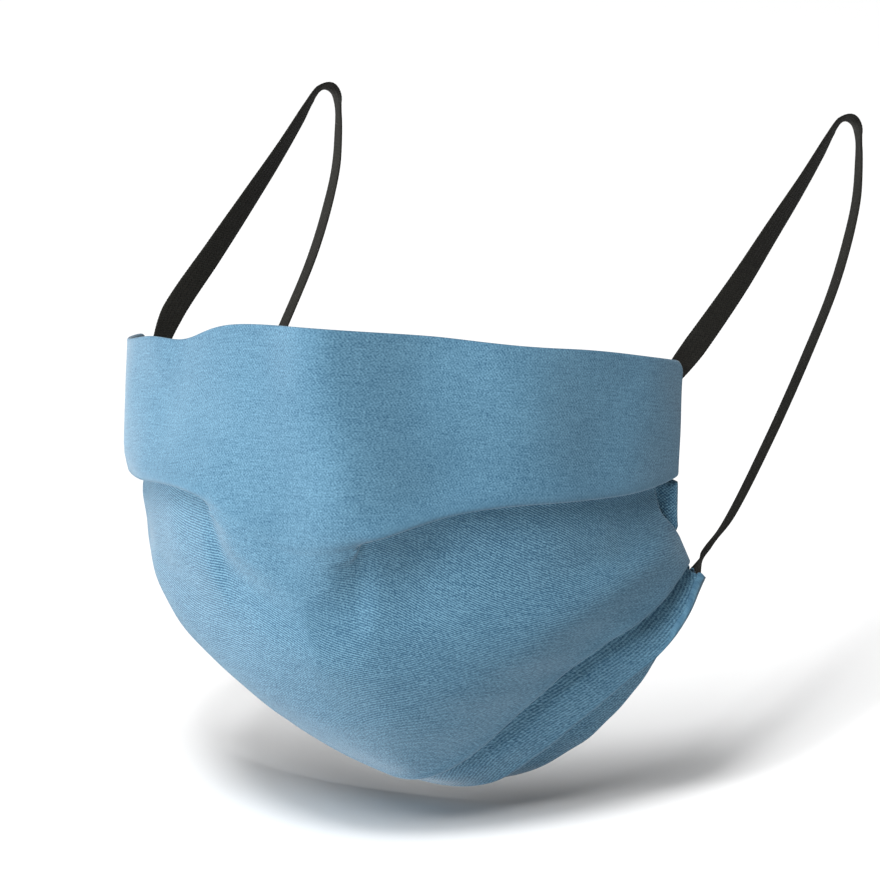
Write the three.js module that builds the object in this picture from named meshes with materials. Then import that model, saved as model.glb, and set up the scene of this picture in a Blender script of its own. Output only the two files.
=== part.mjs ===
// Pleated cloth face mask with two flat elastic ear loops, in the shape it takes on a face.
//
// Units are millimetres and +Z is up. The wearer looks along -Y, and +X is the wearer's left.
// The origin is where the mask sits on the bridge of the nose: the middle of the top edge.
//
// The panel is one piece of cloth, folded into three pleats that open downwards.
// Its outermost layer follows a smooth face surface, and every pleat is a zigzag path of the
// cloth across that surface: "along" runs down the face in mm, "out" is the height above it.
import * as THREE from 'three';

// ---------------------------------------------------------------- driving dimensions
const CLOTH_WALL = 1.0;         // two plies of chambray, quilted by wear into one wall
const LAYER_PITCH = 1.3;        // from one layer of a pleat to the next
const PIECE_GAP = 0.3;          // clearance between pieces that are sewn together
const HALF_SPAN = 100;          // middle of the face to the side seam, along the cloth

const SEAT = CLOTH_WALL + PIECE_GAP;  // pitch from the panel's last layer to the strip behind it
const POUCH_INSET = 4;          // the pouch's own edge starts this far in from the side seam
const BAND_LAST = 8;            // steps of the path: the fold under the top band,
const POUCH_FIRST = 14;         // where the pouch begins behind it,
const POUCH_LAST = 32;          // and where it has met the side seam again
const HEM_FROM = 0.92;          // the side strips reach in from the seam to here, as a share

const COLUMNS = 42;             // steps across the panel, from seam to seam
const PROFILE_SAMPLES = 160;    // steps that measure a line down the face

// Levels of the face surface, from the top edge down to the hem under the chin.
// side*: where the level meets the side seam. mid*: where it crosses the middle of the face.
// full: 2 is an ellipse in plan, less is more pointed, more is squarer.
// reach: how far from the middle the level has settled to the height of its side.
const LEVELS = [
  { name: 'top edge',   sideX: 75, sideY: 52, sideZ: -22, midX: 0,  midY: -0.5, midZ: 0,    full: 2.0,  reach: 1.50 },
  { name: 'top pleat',  sideX: 74, sideY: 45, sideZ: -50, midX: -1, midY: -20,  midZ: -54,  full: 1.85, reach: 0.20 },
  { name: 'mouth',      sideX: 73, sideY: 43, sideZ: -62, midX: 2,  midY: -22,  midZ: -76,  full: 1.62, reach: 0.50 },
  { name: 'chin',       sideX: 72, sideY: 44, sideZ: -69, midX: 5,  midY: -15,  midZ: -98,  full: 1.85, reach: 0.55 },
  { name: 'chin pleat', sideX: 73, sideY: 46, sideZ: -74, midX: 8,  midY: 3,    midZ: -118, full: 1.85, reach: 0.50 },
  { name: 'low pleat',  sideX: 75, sideY: 48, sideZ: -77, midX: 10, midY: 16,   midZ: -127, full: 1.9,  reach: 0.53 },
  { name: 'hem',        sideX: 77, sideY: 48, sideZ: -79, midX: 12, midY: 26,   midZ: -131, full: 2.0,  reach: 0.88 },
];
const TOP_PLEAT = 1;
const CHIN_PLEAT = 4;
const LOW_PLEAT = 5;
const HEM = 6;

// Dents and swellings of the worn cloth. across is -1 at the right seam of the wearer, 0 in the
// middle and 1 at the left seam, level is the row above, and out and up are in mm.
const DENTS = [
  { name: 'nose ridge',       across: 0,     level: 0,    spanAcross: 0.12, spanLevel: 0.8, out: 3,    up: 1 },
  { name: 'left of the nose', across: 0.24,  level: 0.35, spanAcross: 0.12, spanLevel: 0.5, out: -2.5, up: 0 },
  { name: 'left cheekbone',   across: 0.66,  level: 0.2,  spanAcross: 0.14, spanLevel: 0.6, out: -1.5, up: 0 },
  { name: 'right brow dip',   across: -0.72, level: 0,    spanAcross: 0.3,  spanLevel: 0.6, out: 0,    up: -5.5 },
  { name: 'right cheek',      across: -0.8,  level: 0.5,  spanAcross: 0.25, spanLevel: 0.8, out: 1.5,  up: 0 },
  { name: 'left lift',        across: 0.45,  level: 1,    spanAcross: 0.3,  spanLevel: 0.5, out: 0,    up: 6 },
  { name: 'right lift',       across: -0.4,  level: 1,    spanAcross: 0.3,  spanLevel: 0.5, out: 0,    up: 8.5 },
  { name: 'left pocket',      across: 0.2,   level: 1.3,  spanAcross: 0.13, spanLevel: 0.35, out: -2,  up: 0 },
  { name: 'right pocket',     across: -0.22, level: 1.3,  spanAcross: 0.13, spanLevel: 0.35, out: -1,  up: 0 },
];

// The three pleats. tuckSide and tuckMid are the depth of the fold at the seam and in the
// middle, in mm. openTo is how far from the middle the pleat has been pulled fully open.
const PLEATS = [
  { name: 'top',  level: TOP_PLEAT,  tuckSide: 9, tuckMid: 9, openTo: 0.10, closedFrom: 0.30 },
  { name: 'chin', level: CHIN_PLEAT, tuckSide: 8, tuckMid: 6, openTo: -1,   closedFrom: -0.5 },
  { name: 'low',  level: LOW_PLEAT,  tuckSide: 6, tuckMid: 5, openTo: -1,   closedFrom: -0.5 },
];

// The flat elastic, and how it lies: first sewn flat inside the upper corner, then up over the
// ear and back down to the lower corner. twist is in degrees: at 0 and 180 the flat faces
// look sideways, at 90 the elastic bends flat over the ear.
const ELASTIC_WIDE = 5.3;
const ELASTIC_THICK = 0.9;
const LOOP_STEPS = 3;           // steps between two rows of the tables below
const RIGHT_EAR_SHIFT = new THREE.Vector3(3, -1.5, -0.3);  // of the wearer's right ear
const UPPER_TAB = [
  { across: 0.90, level: 0.30, under: 0.1 },
  { across: 0.94, level: 0.24, under: 0.1 },
  { across: 0.98, level: 0.17, under: 0.5 },
];
const LOOP_ROUTE = [
  { x: 73.5, y: 62,    z: -21.5, twist: -36 },
  { x: 74.5, y: 86,    z: -13.2, twist: -20 },
  { x: 74.5, y: 106,   z: -6.4,  twist: -6 },
  { x: 74.5, y: 126,   z: 0.3,   twist: 8 },
  { x: 74.5, y: 140,   z: 5.6,   twist: 17 },
  { x: 74.5, y: 147,   z: 8.3,   twist: 28 },
  { x: 74.5, y: 152,   z: 8.7,   twist: 60 },
  { x: 74.5, y: 156,   z: 7.0,   twist: 100 },
  { x: 74.5, y: 158.7, z: 3.9,   twist: 133 },
  { x: 74.5, y: 159.1, z: 0,     twist: 143 },
  { x: 74.5, y: 158,   z: -5,    twist: 146 },
  { x: 74.5, y: 155,   z: -13,   twist: 147 },
  { x: 74.5, y: 148.8, z: -21,   twist: 146 },
  { x: 74.5, y: 138,   z: -31,   twist: 144 },
  { x: 74.5, y: 122,   z: -41.5, twist: 140 },
  { x: 74.5, y: 95,    z: -56.8, twist: 137 },
  { x: 74.5, y: 68,    z: -70,   twist: 142 },
];
const LOWER_TAB = [
  { across: 0.98, level: 4.9, under: 0.6 },
  { across: 0.85, level: 4.9, under: 0.3 },
  { across: 0.74, level: 4.9, under: 0.3 },
];

// ---------------------------------------------------------------- small helpers
const clamp = (value, low, high) => Math.min(Math.max(value, low), high);
const mix = (from, to, share) => from + (to - from) * share;
const ease = (value, low, high) => {
  const share = clamp((value - low) / (high - low), 0, 1);
  return share * share * (3 - 2 * share);
};
const bell = (distance, span) => Math.exp(-((distance / span) ** 2));

// Slope of a column of the level table at one row, flat where the column turns back.
function columnSlope(column, row) {
  if (row === 0) return LEVELS[1][column] - LEVELS[0][column];
  if (row === HEM) return LEVELS[HEM][column] - LEVELS[HEM - 1][column];
  const before = LEVELS[row][column] - LEVELS[row - 1][column];
  const after = LEVELS[row + 1][column] - LEVELS[row][column];
  return before * after <= 0 ? 0 : (2 * before * after) / (before + after);
}

// A column of the level table at any height between two rows, without overshoot.
function columnAt(column, level) {
  const row = clamp(Math.floor(level), 0, HEM - 1);
  const s = level - row;
  const start = LEVELS[row][column];
  const end = LEVELS[row + 1][column];
  const rise = s * s * (3 - 2 * s);
  const startPull = s * (1 - s) * (1 - s) * columnSlope(column, row);
  const endPull = s * s * (1 - s) * columnSlope(column, row + 1);
  return mix(start, end, rise) + startPull - endPull;
}

// ---------------------------------------------------------------- the face surface
function facePoint(across, level) {
  const side = Math.sign(across) || 1;
  const share = Math.abs(across);
  const angle = share * Math.PI / 2;
  const width = columnAt('sideX', level);
  const backY = columnAt('sideY', level);
  const depth = backY - columnAt('midY', level);
  const full = columnAt('full', level);
  const reach = columnAt('reach', level);

  const sine = Math.sin(angle);
  const cosine = Math.max(Math.cos(angle), 0);
  const settled = (1 - bell(share, reach)) / (1 - bell(1, reach));
  const point = new THREE.Vector3(
    side * width * Math.abs(sine) ** (2 / full) + columnAt('midX', level) * cosine * cosine,
    backY - depth * cosine ** (2 / full),
    mix(columnAt('midZ', level), columnAt('sideZ', level), settled),
  );

  const outward = new THREE.Vector3(side * sine * depth, -cosine * width, 0).normalize();
  for (const dent of DENTS) {
    const strength = bell(across - dent.across, dent.spanAcross) * bell(level - dent.level, dent.spanLevel);
    point.addScaledVector(outward, dent.out * strength);
    point.z += dent.up * strength;
  }
  return point;
}

// Unit normal of the face surface, away from the face.
function faceNormal(across, level) {
  const step = 0.01;
  const down = facePoint(across, Math.min(level + step, HEM)).sub(facePoint(across, Math.max(level - step, 0)));
  const over = facePoint(Math.min(across + step, 1), level).sub(facePoint(Math.max(across - step, -1), level));
  return down.cross(over).normalize();
}

// A point off the face surface, out mm along its normal.
function offFace(across, level, out) {
  return facePoint(across, level).addScaledVector(faceNormal(across, level), out);
}

// A line down the face at one place across: turns mm along it into levels and back.
function profileLine(across) {
  const levels = [0];
  const lengths = [0];
  let last = facePoint(across, 0);
  for (let i = 1; i <= PROFILE_SAMPLES; i += 1) {
    const level = HEM * i / PROFILE_SAMPLES;
    const point = facePoint(across, level);
    levels.push(level);
    lengths.push(lengths[i - 1] + point.distanceTo(last));
    last = point;
  }
  const levelAt = (along) => {
    let i = 1;
    while (i < PROFILE_SAMPLES && lengths[i] < along) i += 1;
    const share = (along - lengths[i - 1]) / (lengths[i] - lengths[i - 1]);
    return clamp(mix(levels[i - 1], levels[i], share), 0, HEM);
  };
  const alongAt = (level) => lengths[Math.round(level * PROFILE_SAMPLES / HEM)];
  return { levelAt, alongAt };
}

// ---------------------------------------------------------------- the pleated path
// One pleat as steps of the cloth: away from its fold line, and out from the face.
function pleatSteps(pleat, share) {
  const tuck = mix(pleat.tuckMid, pleat.tuckSide, share);
  const radius = LAYER_PITCH / 2;
  const steps = [{ along: -tuck, out: 0 }];
  const bend = (centreAlong, centreOut, direction) => {
    for (let i = 0; i <= 3; i += 1) {
      const turn = Math.PI * i / 3;
      const along = centreAlong + direction * radius * Math.sin(turn);
      steps.push({ along, out: centreOut + radius * Math.cos(turn) });
    }
  };
  bend(-radius, -radius, 1);
  steps.push({ along: -tuck / 2, out: -LAYER_PITCH });
  bend(-tuck + radius, -LAYER_PITCH - radius, -1);
  steps.push({ along: -tuck / 2, out: -2 * LAYER_PITCH });
  steps.push({ along: radius, out: -2 * LAYER_PITCH });

  // Towards the middle the tuck is pulled out flat first, and then its step fades away.
  const closed = ease(share, pleat.openTo, pleat.closedFrom);
  const folded = ease(closed, 0.35, 1);
  const stepped = ease(closed, 0, 0.35);
  return steps.map((step, i) => {
    const flat = mix(-tuck, 1.6 * tuck, i / (steps.length - 1));
    return { along: mix(flat, step.along, folded), out: step.out * stepped };
  });
}

// The whole path of the cloth down one line of the face.
function clothPath(across) {
  const share = Math.abs(across);
  const line = profileLine(across);
  const path = [];
  const span = (fromAlong, toAlong, fromOut, toOut, count) => {
    for (let i = 1; i <= count; i += 1) {
      const part = i / (count + 1);
      path.push({ along: mix(fromAlong, toAlong, part), out: mix(fromOut, toOut, ease(part, 0, 0.7)) });
    }
  };
  const stepsBefore = [4, 9, 1];
  const carried = [0, 0, 1];
  path.push({ along: 0, out: 0 });
  PLEATS.forEach((pleat, i) => {
    const foldAt = line.alongAt(pleat.level);
    const steps = pleatSteps(pleat, share);
    const start = path[path.length - 1];
    const base = carried[i] * start.out;
    span(start.along, foldAt + steps[0].along, start.out, base, stepsBefore[i]);
    for (const step of steps) path.push({ along: foldAt + step.along, out: base + step.out });
  });
  const last = path[path.length - 1];
  const hemAt = line.alongAt(HEM);
  span(last.along, hemAt, last.out, last.out, 2);
  path.push({ along: hemAt, out: last.out });
  return { path, line };
}

// ---------------------------------------------------------------- closed shells
// A closed shell from two grids of points with the same rows and columns.
function closeShell(outer, inner) {
  const rows = outer.length;
  const columns = outer[0].length;
  const positions = [];
  for (const grid of [outer, inner]) {
    for (const row of grid) {
      for (const point of row) positions.push(point.x, point.y, point.z);
    }
  }
  const at = (layer, row, column) => (layer * rows + row) * columns + column;
  const index = [];
  const quad = (a, b, c, d) => index.push(a, b, c, a, c, d);
  for (let r = 0; r < rows - 1; r += 1) {
    for (let c = 0; c < columns - 1; c += 1) {
      quad(at(0, r, c), at(0, r + 1, c), at(0, r + 1, c + 1), at(0, r, c + 1));
      quad(at(1, r, c), at(1, r, c + 1), at(1, r + 1, c + 1), at(1, r + 1, c));
    }
    quad(at(0, r, 0), at(1, r, 0), at(1, r + 1, 0), at(0, r + 1, 0));
    quad(at(0, r, columns - 1), at(0, r + 1, columns - 1), at(1, r + 1, columns - 1), at(1, r, columns - 1));
  }
  for (let c = 0; c < columns - 1; c += 1) {
    quad(at(0, 0, c), at(0, 0, c + 1), at(1, 0, c + 1), at(1, 0, c));
    quad(at(0, rows - 1, c), at(1, rows - 1, c), at(1, rows - 1, c + 1), at(0, rows - 1, c + 1));
  }
  const geometry = new THREE.BufferGeometry();
  geometry.setAttribute('position', new THREE.Float32BufferAttribute(positions, 3));
  geometry.setIndex(index);
  geometry.computeVertexNormals();
  return geometry;
}

// How far a step of the path stops short of the side seam: only the pouch is drawn in.
function drawnIn(step) {
  return POUCH_INSET * ease(step, BAND_LAST, POUCH_FIRST) * (1 - ease(step, POUCH_FIRST, POUCH_LAST));
}

function pleatedPanel() {
  const outer = [];
  const inner = [];
  for (let c = 0; c <= COLUMNS; c += 1) {
    const across = 2 * c / COLUMNS - 1;
    const { path, line } = clothPath(across);
    path.forEach((step, i) => {
      const before = path[Math.max(i - 1, 0)];
      const after = path[Math.min(i + 1, path.length - 1)];
      const run = after.along - before.along;
      const rise = after.out - before.out;
      const size = Math.hypot(run, rise);
      const place = across * (1 - drawnIn(i) / HALF_SPAN);
      const surface = (side) => {
        const along = step.along - side * (rise / size) * CLOTH_WALL / 2;
        const out = step.out + side * (run / size) * CLOTH_WALL / 2;
        return offFace(place, line.levelAt(along), out);
      };
      outer[i] = outer[i] || [];
      inner[i] = inner[i] || [];
      outer[i].push(surface(1));
      inner[i].push(surface(-1));
    });
  }
  return closeShell(outer, inner);
}

// The strip of cloth behind one side seam, under every layer of the pleats.
function sideHem(side) {
  const outer = [];
  const inner = [];
  const widths = side > 0 ? [HEM_FROM, 0.5 * (HEM_FROM + 1), 1] : [-1, -0.5 * (HEM_FROM + 1), -HEM_FROM];
  for (const across of widths) {
    const line = profileLine(across);
    const topTuck = line.alongAt(TOP_PLEAT) - PLEATS[0].tuckSide;
    const lowTuck = line.alongAt(LOW_PLEAT) - PLEATS[2].tuckSide;
    const levelEnd = line.alongAt(HEM);
    const corners = [
      { along: 0.6, out: -SEAT, steps: 5 },
      { along: topTuck - 6, out: -SEAT, steps: 1 },
      { along: topTuck - 2.5, out: -SEAT - 2 * LAYER_PITCH, steps: 9 },
      { along: lowTuck - 6, out: -SEAT - 2 * LAYER_PITCH, steps: 1 },
      { along: lowTuck - 2.5, out: -SEAT - 4 * LAYER_PITCH, steps: 4 },
      { along: levelEnd - 0.6, out: -SEAT - 4 * LAYER_PITCH, steps: 0 },
    ];
    const path = [];
    for (let i = 0; i < corners.length - 1; i += 1) {
      const [from, to] = [corners[i], corners[i + 1]];
      for (let k = 0; k < from.steps; k += 1) {
        const part = k / from.steps;
        path.push({ along: mix(from.along, to.along, part), out: mix(from.out, to.out, part) });
      }
    }
    path.push(corners[corners.length - 1]);
    path.forEach((step, i) => {
      const level = line.levelAt(step.along);
      outer[i] = outer[i] || [];
      inner[i] = inner[i] || [];
      outer[i].push(offFace(across, level, step.out + CLOTH_WALL / 2));
      inner[i].push(offFace(across, level, step.out - CLOTH_WALL / 2));
    });
  }
  return closeShell(outer, inner);
}

// Part of a vector that is square to a direction, at unit length.
function squareTo(direction, vector) {
  return vector.clone().addScaledVector(direction, -vector.dot(direction)).normalize();
}

// A flat elastic from the upper corner, over the ear and back to the lower corner.
function earLoop(side) {
  const upperSeat = -SEAT - CLOTH_WALL / 2 - PIECE_GAP - ELASTIC_THICK / 2;
  const lowerSeat = upperSeat - 4 * LAYER_PITCH;
  const spots = [];
  const addTab = (tab, seat, facing) => spots.push({
    place: offFace(side * tab.across, tab.level, seat - tab.under),
    face: faceNormal(side * tab.across, tab.level).multiplyScalar(facing),
  });
  for (const tab of UPPER_TAB) addTab(tab, upperSeat, side);
  for (const row of LOOP_ROUTE) {
    const drawn = side < 0 ? ease(row.y, 60, 95) : 0;
    const place = new THREE.Vector3(side * row.x, row.y, row.z).addScaledVector(RIGHT_EAR_SHIFT, drawn);
    spots.push({ place, twist: row.twist * Math.PI / 180 });
  }
  for (const tab of LOWER_TAB) addTab(tab, lowerSeat, -side);

  const route = new THREE.CatmullRomCurve3(spots.map((spot) => spot.place), false, 'centripetal');
  const last = spots.length - 1;
  spots.forEach((spot, i) => {
    if (spot.face) return;
    const tangent = route.getTangent(i / last);
    const sideways = squareTo(tangent, new THREE.Vector3(1, 0, 0));
    const lifted = new THREE.Vector3().crossVectors(tangent, sideways);
    spot.face = sideways.multiplyScalar(Math.cos(spot.twist)).addScaledVector(lifted, Math.sin(spot.twist));
  });

  const outer = [];
  const inner = [];
  for (let i = 0; i <= last * LOOP_STEPS; i += 1) {
    const row = Math.min(Math.floor(i / LOOP_STEPS), last - 1);
    const part = i / LOOP_STEPS - row;
    const centre = route.getPoint(i / (last * LOOP_STEPS));
    const tangent = route.getTangent(i / (last * LOOP_STEPS));
    const face = squareTo(tangent, spots[row].face.clone().lerp(spots[row + 1].face, part));
    const edge = new THREE.Vector3().crossVectors(tangent, face);
    const corner = (across, through) => centre.clone()
      .addScaledVector(edge, across * ELASTIC_WIDE / 2)
      .addScaledVector(face, through * ELASTIC_THICK / 2);
    outer.push([corner(1, 1), corner(-1, 1)]);
    inner.push([corner(1, -1), corner(-1, -1)]);
  }
  return closeShell(outer, inner);
}

// ---------------------------------------------------------------- the object
const mask = new THREE.Group();

function addPiece(name, geometry, colour, roughness) {
  const material = new THREE.MeshStandardMaterial({ color: colour, roughness, metalness: 0 });
  const mesh = new THREE.Mesh(geometry, material);
  mesh.name = name;
  mask.add(mesh);
}

const CHAMBRAY = 0x6a9cc0;
const ELASTIC_BLACK = 0x22221f;
addPiece('pleated_panel', pleatedPanel(), CHAMBRAY, 0.9);
addPiece('side_hem_left', sideHem(-1), CHAMBRAY, 0.9);
addPiece('side_hem_right', sideHem(1), CHAMBRAY, 0.9);
addPiece('ear_loop_left', earLoop(-1), ELASTIC_BLACK, 0.8);
addPiece('ear_loop_right', earLoop(1), ELASTIC_BLACK, 0.8);

export default mask;
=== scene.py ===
# %% [markdown]
# # A pleated cloth face mask
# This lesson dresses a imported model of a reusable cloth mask: one folded panel of blue
# chambray, a binding strip behind each side seam and two flat black elastic ear loops.
# The solids have the same shape in plainer form. Here every piece is built again, finer, by
# the same method, with some sizes changed by a few millimetres, and gets its weave, stitches
# and finish. Sizes in the tables are in mm.

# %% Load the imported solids
import math
from collections import namedtuple

import bpy
import numpy as np
from mathutils import Matrix, Vector


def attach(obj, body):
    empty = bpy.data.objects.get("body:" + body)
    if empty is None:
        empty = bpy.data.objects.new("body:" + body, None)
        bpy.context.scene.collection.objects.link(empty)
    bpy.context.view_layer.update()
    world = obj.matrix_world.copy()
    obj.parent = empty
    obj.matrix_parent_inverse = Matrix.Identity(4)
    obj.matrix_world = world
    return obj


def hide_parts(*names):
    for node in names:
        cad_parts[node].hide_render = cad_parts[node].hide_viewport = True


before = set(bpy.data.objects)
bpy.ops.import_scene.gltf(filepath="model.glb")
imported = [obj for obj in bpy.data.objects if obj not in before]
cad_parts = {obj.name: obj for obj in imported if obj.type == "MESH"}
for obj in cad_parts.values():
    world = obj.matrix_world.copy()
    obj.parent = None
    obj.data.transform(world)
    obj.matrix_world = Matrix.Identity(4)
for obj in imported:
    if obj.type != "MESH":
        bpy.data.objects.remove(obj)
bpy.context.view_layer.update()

# %% [markdown]
# ## The face under the cloth
# A worn mask is a sheet that a face pushes into shape. One way to get it is to simulate
# cloth on a head, but then nothing has a size that can be named or repeated. Here the
# outermost layer follows a smooth surface instead. It is stacked up from seven levels, each a
# rounded curve from one side seam to the other, and a few soft dents and lifts are added.
# `across` runs from -1 at the wearer's right seam to 1 at the left, `level` counts the rows.
# In the table `full` says how squarely a level bulges, and `reach` how far its middle height
# carries towards the sides.

# %% The levels of the face
Level = namedtuple("Level", "name side_x side_y side_z mid_x mid_y mid_z full reach")
LEVELS = [
    Level("top edge", 75, 52, -22, 0, -0.5, 0, 2.00, 1.50),
    Level("top pleat", 74, 45, -50, -1, -20, -54, 1.85, 0.20),
    Level("mouth", 73.5, 43, -62, 2, -22, -76, 1.62, 0.50),
    Level("chin", 74, 44.5, -68, 5, -15, -98, 1.85, 0.55),
    Level("chin pleat", 74.5, 46, -71.5, 8, 3, -118, 1.85, 0.52),
    Level("low pleat", 79, 49, -75.5, 10, 16, -124.5, 2.10, 0.66),
    Level("hem", 77, 52, -79.5, 12, 26, -132, 2.06, 0.80),
]
TOP_PLEAT, CHIN_PLEAT, LOW_PLEAT, HEM = 1, 4, 5, 6

Dent = namedtuple("Dent", "name across level span_across span_level out up")
DENTS = [
    Dent("top of the nose", 0.03, 0.00, 0.11, 0.50, 5.6, 1.9),
    Dent("bridge of the nose", 0.14, 0.58, 0.12, 0.35, 4.6, 0.0),
    Dent("tip of the nose", 0.23, 1.00, 0.15, 0.30, 3.4, 0.0),
    Dent("left of the nose", 0.26, 0.10, 0.12, 0.45, -4.5, -1.3),
    Dent("left of the bridge", 0.37, 0.65, 0.13, 0.35, -3.5, 0.0),
    Dent("right of the ridge", -0.42, 0.30, 0.22, 0.80, -2.4, -0.8),
    Dent("left brow", 0.45, 0.00, 0.35, 0.60, 0.0, -0.7),
    Dent("left cheek", 0.50, 0.40, 0.14, 0.60, 1.6, 0.0),
    Dent("left cheekbone", 0.68, 0.20, 0.14, 0.60, -1.8, 0.0),
    Dent("right of the nose", -0.40, 0.00, 0.12, 0.50, 0.0, -3.4),
    Dent("right brow dip", -0.70, 0.00, 0.28, 0.60, 0.0, -4.2),
    Dent("right cheek", -0.80, 0.50, 0.25, 0.80, 1.5, 0.0),
    Dent("right fold", -0.75, 1.05, 0.20, 0.25, -1.6, 0.0),
    Dent("left lift", 0.45, 1.00, 0.30, 0.50, 0.0, 6.0),
    Dent("right lift", -0.34, 1.00, 0.30, 0.50, 0.0, 8.8),
    Dent("middle of the fold", -0.02, 1.00, 0.10, 0.50, 0.0, -1.4),
    Dent("left end of the fold", 0.155, 1.00, 0.085, 0.30, 0.0, -0.4),
    Dent("left pocket", 0.32, 1.50, 0.18, 0.50, -3.6, 0.0),
    Dent("right jowl", -0.58, 3.90, 0.22, 0.80, 3.2, -1.0),
    Dent("right corner", -0.90, 4.00, 0.35, 1.60, -5.0, 0.0),
    Dent("left jowl", 0.74, 4.50, 0.22, 0.80, 0.0, -8.0),
    Dent("right of the chin", -0.12, 4.00, 0.12, 0.60, 0.0, 1.6),
    Dent("chin point", 0.12, 4.80, 0.16, 1.00, 0.0, -4.3),
]


def mix(start, end, share):
    return start + (end - start) * share


def ease(value, low, high):
    share = np.clip((np.asarray(value, float) - low) / (high - low), 0, 1)
    return share * share * (3 - 2 * share)


def bell(distance, span):
    return np.exp(-((distance / span) ** 2))


def column_at(column, level):
    """A column of the level table at any height, smooth and without overshoot."""
    values = np.array([getattr(row, column) for row in LEVELS], float)
    steps = np.diff(values)
    product = steps[:-1] * steps[1:]
    total = np.where(product > 0, steps[:-1] + steps[1:], 1)
    inner = np.where(product > 0, 2 * product / total, 0)
    slopes = np.concatenate([steps[:1], inner, steps[-1:]])
    row = np.clip(np.floor(level), 0, HEM - 1).astype(int)
    s = level - row
    pulls = s * (1 - s) ** 2 * slopes[row] - s ** 2 * (1 - s) * slopes[row + 1]
    return mix(values[row], values[row + 1], s * s * (3 - 2 * s)) + pulls


def face_point(across, level):
    """A point of the face surface in mm, for arrays of the same shape."""
    across, level = np.broadcast_arrays(np.asarray(across, float), np.asarray(level, float))
    side, share = np.where(across < 0, -1.0, 1.0), np.abs(across)
    sine, cosine = np.sin(share * math.pi / 2), np.maximum(np.cos(share * math.pi / 2), 0)
    width, back = column_at("side_x", level), column_at("side_y", level)
    depth, full = back - column_at("mid_y", level), column_at("full", level)
    reach = column_at("reach", level)
    settled = (1 - bell(share, reach)) / (1 - bell(1, reach))
    x = side * width * sine ** (2 / full) + column_at("mid_x", level) * cosine ** 2
    y = back - depth * cosine ** (2 / full)
    z = mix(column_at("mid_z", level), column_at("side_z", level), settled)
    out_x, out_y = side * sine * depth, -cosine * width
    length = np.hypot(out_x, out_y)
    for dent in DENTS:
        strength = bell(across - dent.across, dent.span_across)
        strength = strength * bell(level - dent.level, dent.span_level)
        x = x + dent.out * strength * out_x / length
        y = y + dent.out * strength * out_y / length
        z = z + dent.up * strength
    return np.stack([x, y, z], -1)


def unit(vectors):
    return vectors / np.maximum(np.linalg.norm(vectors, axis=-1, keepdims=True), 1e-9)


def face_normal(across, level, step=0.01):
    """Unit normals of the face surface, pointing away from the face."""
    below, above = np.minimum(level + step, HEM), np.maximum(level - step, 0)
    left, right = np.minimum(across + step, 1), np.maximum(across - step, -1)
    down = face_point(across, below) - face_point(across, above)
    over = face_point(left, level) - face_point(right, level)
    return unit(np.cross(down, over))


def off_face(across, level, out):
    away = face_normal(across, level) * np.asarray(out, float)[..., None]
    return face_point(across, level) + away


print("bridge of the nose:", face_point(0, 0).round(1), "chin hem:", face_point(0, HEM).round(1))

# %% [markdown]
# ## Lines down the face
# Cloth doesn't know about levels: it is folded in millimetres. So each line down the face is
# measured once, and then any length along it can be turned back into a level.

# %% Measure lines down the face
PROFILE_SAMPLES = 320


class Lines:
    """Lines down the face at each place across, measured in mm from the top edge."""

    def __init__(self, across):
        self.across = np.asarray(across, float)
        self.levels = np.linspace(0, HEM, PROFILE_SAMPLES + 1)
        points = face_point(self.across[:, None], self.levels[None, :])
        steps = np.linalg.norm(np.diff(points, axis=1), axis=2)
        start = np.zeros((len(self.across), 1))
        self.lengths = np.concatenate([start, np.cumsum(steps, axis=1)], 1)

    def along_at(self, level):
        return np.array([np.interp(level, self.levels, row) for row in self.lengths])

    def level_at(self, along):
        """along has a row for each step of a path and a column for each place across."""
        columns = [np.interp(along[:, i], row, self.levels) for i, row in enumerate(self.lengths)]
        return np.stack(columns, 1)


seam_line = Lines([1.0])
print("side seam is", seam_line.along_at(HEM).round(1), "mm long when pleated")

# %% [markdown]
# ## Three pleats as one zigzag path
# Each pleat goes down to its fold, turns back under itself, turns again and goes on down.
# Drawn in section that is a zigzag with two tight bends, so the sheet is one path of
# (along, out) steps at every place across. Towards the middle of the face the top pleat has
# been pulled open, which is what gives the mask room for a nose: there the zigzag is blended
# into a soft slope with a faint crease. The lower folds puff out a little and the cloth under
# them sinks. Doing this as a path, and not as stacked plates, keeps it one cloth.

# %% The pleated path
HALF_SHEET = 100  # mm of cloth from the middle to a seam
CLOTH_WALL = 0.9
LAYER_PITCH = 1.3
POUCH_INSET, INSET_ROWS, INSET_HOLDS = 8.0, 5, 0.45
EDGE_INSET = 0.4
INSET_FROM = 0.6  # share of the half width where the inset begins
RISE, RISE_SHARE = 22.0, 0.85
SOFT_RUN = 12  # mm over which the pouch leaves the opened pleat
CORNER_ROUND = 3.5
WEAR = 0.35

Pleat = namedtuple("Pleat", "name level tuck_side tuck_mid puff opens")
PLEATS = [
    Pleat("top", TOP_PLEAT, 9, 9, 0.6, True),
    Pleat("chin", CHIN_PLEAT, 8, 6, 0.5, False),
    Pleat("low", LOW_PLEAT, 6, 5, 0.5, False),
]
FOLDS_FROM, STEPS_UNTIL = 0.55, 0.85  # how closed the pleat is when it folds and steps back
CREASE, CREASE_AT, CREASE_WIDE, CREASE_RUN = 0.3, 0.02, 0.12, 0.8
GROOVE, GROOVE_OPENING = 0.9, 0.2
EDGE_BAND = 1.8
FADE_FROM, FADE_TO = -12, 32  # mm from the top fold, for the change of weave
OPEN_TO_RIGHT, CLOSED_FROM_RIGHT = 0.16, 0.34
OPEN_TO_LEFT, CLOSED_FROM_LEFT = 0.05, 0.24
BEND_STEPS, LAYER_STEPS = 6, 4
SPAN_STEPS = [34, 70, 8]
TAIL_STEPS = 12


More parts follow.
